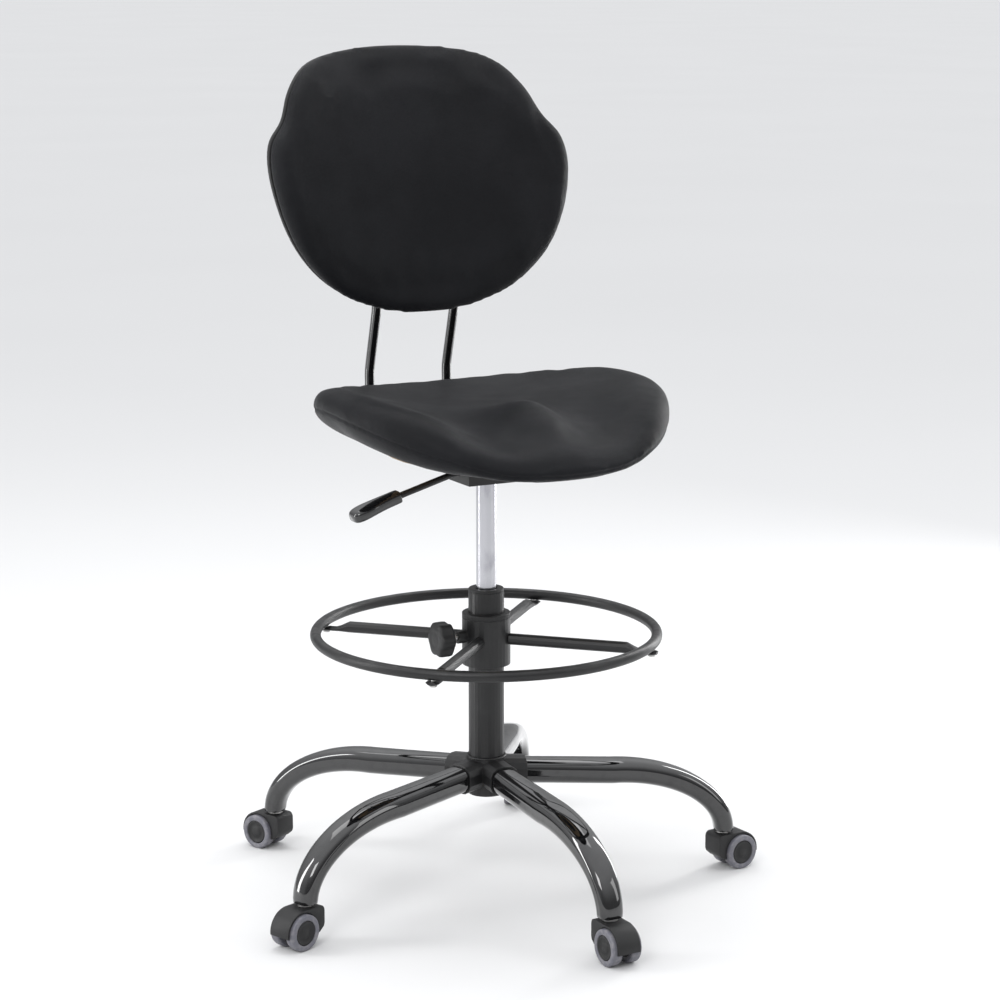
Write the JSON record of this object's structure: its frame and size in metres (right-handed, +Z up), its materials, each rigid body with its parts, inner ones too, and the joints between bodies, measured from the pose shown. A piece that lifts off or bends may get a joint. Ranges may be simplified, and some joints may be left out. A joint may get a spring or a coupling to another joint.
{
  "type": "drafting chair",
  "caption": "Armless drafting chair with contoured padded seat and dished back on two posts, gas-lift column, height-set foot ring and arched star base on twin-wheel casters.",
  "frame": {"origin": "middle of the footprint box, on the floor", "axes": "+Z up, the sitter faces -Y, the height lever is on the sitter's right at -X"},
  "size_m": [0.76, 0.7268, 1.17],
  "materials": {
    "gloss_black_plating": "black mirror plating",
    "satin_black_powder_coat": "satin powder coat",
    "black_nylon": "fine matte grain",
    "gloss_black_plastic": "gloss",
    "grey_polyurethane": "soft satin",
    "chrome": "polished",
    "zinc_steel": "zinc plated",
    "black_upholstery": "fine grain with a soft sheen",
    "plywood": "raw"
  },
  "bodies": {
    "base": {"hub": "satin_black_powder_coat", "leg_front": "gloss_black_plating", "leg_left": "gloss_black_plating", "leg_rear_left": "gloss_black_plating", "leg_rear_right": "gloss_black_plating", "leg_right": "gloss_black_plating", "stand_tube": "satin_black_powder_coat", "guide_bush": "black_nylon", "thrust_bearing": "zinc_steel"},
    "caster_front": {"caster_front_stem": "zinc_steel", "caster_front_hood": "black_nylon", "caster_front_axle": "zinc_steel"},
    "caster_front_wheel_a": {"caster_front_wheel_a": "grey_polyurethane"},
    "caster_front_wheel_b": {"caster_front_wheel_b": "grey_polyurethane"},
    "caster_left": {"caster_left_stem": "zinc_steel", "caster_left_hood": "black_nylon", "caster_left_axle": "zinc_steel"},
    "caster_left_wheel_a": {"caster_left_wheel_a": "grey_polyurethane"},
    "caster_left_wheel_b": {"caster_left_wheel_b": "grey_polyurethane"},
    "caster_rear_left": {"caster_rear_left_stem": "zinc_steel", "caster_rear_left_hood": "black_nylon", "caster_rear_left_axle": "zinc_steel"},
    "caster_rear_left_wheel_a": {"caster_rear_left_wheel_a": "grey_polyurethane"},
    "caster_rear_left_wheel_b": {"caster_rear_left_wheel_b": "grey_polyurethane"},
    "caster_rear_right": {"caster_rear_right_stem": "zinc_steel", "caster_rear_right_hood": "black_nylon", "caster_rear_right_axle": "zinc_steel"},
    "caster_rear_right_wheel_a": {"caster_rear_right_wheel_a": "grey_polyurethane"},
    "caster_rear_right_wheel_b": {"caster_rear_right_wheel_b": "grey_polyurethane"},
    "caster_right": {"caster_right_stem": "zinc_steel", "caster_right_hood": "black_nylon", "caster_right_axle": "zinc_steel"},
    "caster_right_wheel_a": {"caster_right_wheel_a": "grey_polyurethane"},
    "caster_right_wheel_b": {"caster_right_wheel_b": "grey_polyurethane"},
    "lift_rod": {"piston_rod": "zinc_steel", "retaining_clip": "zinc_steel"},
    "seat": {"gas_cylinder": "chrome", "lift_mechanism": "satin_black_powder_coat", "seat_board": "plywood", "seat_cushion": "black_upholstery", "back_post_left": "gloss_black_plating", "back_post_right": "gloss_black_plating", "back_shell": "black_nylon", "back_cushion": "black_upholstery"},
    "release_button": {"release_button": "zinc_steel"},
    "lever": {"lever_rod": "satin_black_powder_coat", "lever_handle": "gloss_black_plastic"},
    "foot_ring_slide": {"collar_cap": "black_nylon"},
    "foot_ring": {"collar": "satin_black_powder_coat", "foot_ring": "satin_black_powder_coat", "spoke_1": "satin_black_powder_coat", "spoke_2": "satin_black_powder_coat", "spoke_3": "satin_black_powder_coat", "spoke_4": "satin_black_powder_coat", "ring_screw_1": "zinc_steel", "ring_screw_2": "zinc_steel", "ring_screw_3": "zinc_steel", "ring_screw_4": "zinc_steel"},
    "clamp_pad": {"clamp_pad": "black_nylon"},
    "clamp_knob": {"clamp_knob": "black_nylon"}
  },
  "joints": [
    {"name": "caster_front_swivel", "type": "hinge", "parent": "base", "child": "caster_front", "pos_m": [0.00079, -0.31398, 0.056], "axis": [0, 0, 1], "continuous": true},
    {"name": "caster_front_roll_a", "type": "hinge", "parent": "caster_front", "child": "caster_front_wheel_a", "pos_m": [0.01608, -0.33346, 0.025], "axis": [0.9994, 0.0349, 0], "continuous": true},
    {"name": "caster_front_roll_b", "type": "hinge", "parent": "caster_front", "child": "caster_front_wheel_b", "pos_m": [-0.01311, -0.33448, 0.025], "axis": [0.9994, 0.0349, 0], "continuous": true},
    {"name": "caster_left_swivel", "type": "hinge", "parent": "base", "child": "caster_left", "pos_m": [0.32985, -0.0749, 0.056], "axis": [0, 0, 1], "continuous": true},
    {"name": "caster_left_roll_a", "type": "hinge", "parent": "caster_left", "child": "caster_left_wheel_a", "pos_m": [0.3485, -0.05861, 0.025], "axis": [-0.0872, 0.9962, 0], "continuous": true},
    {"name": "caster_left_roll_b", "type": "hinge", "parent": "caster_left", "child": "caster_left_wheel_b", "pos_m": [0.35105, -0.0877, 0.025], "axis": [-0.0872, 0.9962, 0], "continuous": true},
    {"name": "caster_rear_left_swivel", "type": "hinge", "parent": "base", "child": "caster_rear_left", "pos_m": [0.20416, 0.31194, 0.056], "axis": [0, 0, 1], "continuous": true},
    {"name": "caster_rear_left_roll_a", "type": "hinge", "parent": "caster_rear_left", "child": "caster_rear_left_wheel_a", "pos_m": [0.20152, 0.33656, 0.025], "axis": [-0.866, 0.5, 0], "continuous": true},
    {"name": "caster_rear_left_roll_b", "type": "hinge", "parent": "caster_rear_left", "child": "caster_rear_left_wheel_b", "pos_m": [0.22681, 0.32196, 0.025], "axis": [-0.866, 0.5, 0], "continuous": true},
    {"name": "caster_rear_right_swivel", "type": "hinge", "parent": "base", "child": "caster_rear_right", "pos_m": [-0.20259, 0.31194, 0.056], "axis": [0, 0, 1], "continuous": true},
    {"name": "caster_rear_right_roll_a", "type": "hinge", "parent": "caster_rear_right", "child": "caster_rear_right_wheel_a", "pos_m": [-0.22427, 0.32389, 0.025], "axis": [-0.9063, -0.4226, 0], "continuous": true},
    {"name": "caster_rear_right_roll_b", "type": "hinge", "parent": "caster_rear_right", "child": "caster_rear_right_wheel_b", "pos_m": [-0.19781, 0.33623, 0.025], "axis": [-0.9063, -0.4226, 0], "continuous": true},
    {"name": "caster_right_swivel", "type": "hinge", "parent": "base", "child": "caster_right", "pos_m": [-0.32828, -0.0749, 0.056], "axis": [0, 0, 1], "continuous": true},
    {"name": "caster_right_roll_a", "type": "hinge", "parent": "caster_right", "child": "caster_right_wheel_a", "pos_m": [-0.34208, -0.09546, 0.025], "axis": [0.342, -0.9397, 0], "continuous": true},
    {"name": "caster_right_roll_b", "type": "hinge", "parent": "caster_right", "child": "caster_right_wheel_b", "pos_m": [-0.35207, -0.06802, 0.025], "axis": [0.342, -0.9397, 0], "continuous": true},
    {"name": "seat_swivel", "type": "hinge", "parent": "base", "child": "lift_rod", "pos_m": [0.00079, 0.03202, 0.139], "axis": [0, 0, 1], "continuous": true},
    {"name": "seat_height", "type": "slide", "parent": "lift_rod", "child": "seat", "axis": [0, 0, 1], "range_m": [-0.146, 0.054]},
    {"name": "height_lever", "type": "hinge", "parent": "seat", "child": "lever", "pos_m": [-0.03721, 0.03202, 0.59839], "axis": [0, 1, 0], "range_deg": [0, 6], "stiffness_Nm_per_rad": 4, "springref_deg": -5.73},
    {"name": "release_button_travel", "type": "slide", "parent": "seat", "child": "release_button", "axis": [0, 0, -1], "range_m": [0, 0.004]},
    {"name": "foot_ring_height", "type": "slide", "parent": "base", "child": "foot_ring_slide", "axis": [0, 0, 1], "range_m": [-0.13, 0.028]},
    {"name": "foot_ring_turn", "type": "hinge", "parent": "foot_ring_slide", "child": "foot_ring", "pos_m": [0.00079, 0.03202, 0.361], "axis": [0, 0, 1], "continuous": true},
    {"name": "clamp_pad_travel", "type": "slide", "parent": "foot_ring", "child": "clamp_pad", "axis": [-1, 0, 0], "range_m": [0, 0.00375]},
    {"name": "clamp_knob_turn", "type": "hinge", "parent": "clamp_pad", "child": "clamp_knob", "pos_m": [-0.05621, 0.03202, 0.363], "axis": [-1, 0, 0], "range_deg": [0, 1080]}
  ],
  "couplings": [
    {"joint": "release_button_travel", "follows": "height_lever", "m_per_rad": 0.038},
    {"joint": "clamp_pad_travel", "follows": "clamp_knob_turn", "m_per_rad": 0.00019894}
  ]
}
